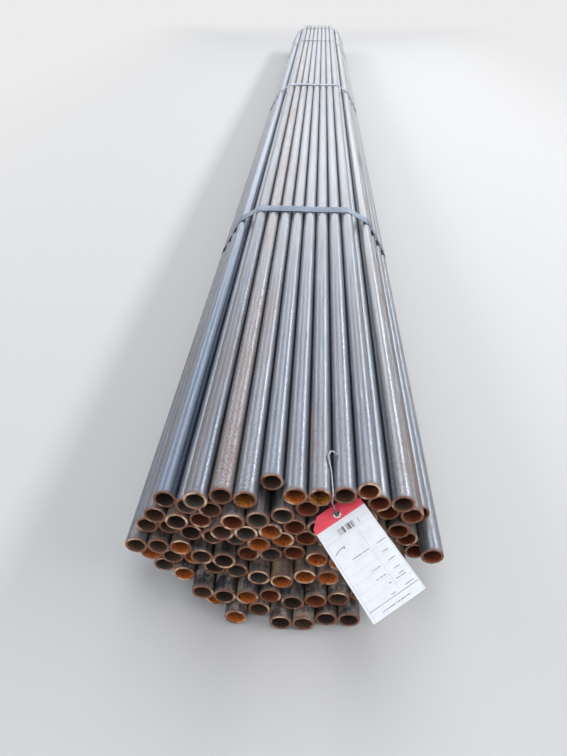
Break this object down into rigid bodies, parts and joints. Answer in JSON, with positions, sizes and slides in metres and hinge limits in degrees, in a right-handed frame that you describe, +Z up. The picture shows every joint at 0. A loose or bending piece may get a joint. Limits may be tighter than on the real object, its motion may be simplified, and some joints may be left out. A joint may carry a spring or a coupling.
{
  "type": "bundle of steel pipes",
  "caption": "Bundle of plain round steel pipes in staggered rows, held by flat steel straps, with a card tag wired on at one end.",
  "frame": {"origin": "bottom centre of the whole bundle's box, at the height of the straps' undersides", "axes": "+Y along the pipes, away from the tagged end; +Z up; +X to the right when the tagged end is seen"},
  "size_m": [0.4774, 6.1946, 0.2437],
  "materials": {
    "pipe_steel": "blue-grey mill scale with rust at the ends",
    "strap_steel": "bright bluish strip steel",
    "tag_card": "coated white card with a red end",
    "eyelet_metal": "dull plated",
    "wire_steel": "bright galvanised"
  },
  "bodies": {
    "root": {"pipe_row_1": "pipe_steel", "pipe_row_2": "pipe_steel", "pipe_row_3": "pipe_steel", "pipe_row_4": "pipe_steel", "pipe_row_5": "pipe_steel", "pipe_row_6": "pipe_steel", "pipe_row_7": "pipe_steel", "pipe_row_8": "pipe_steel", "strap_1": "strap_steel", "strap_2": "strap_steel", "strap_3": "strap_steel", "strap_4": "strap_steel", "tag_card": "tag_card", "tag_eyelet": "eyelet_metal", "tag_wire": "wire_steel"}
  },
  "joints": []
}
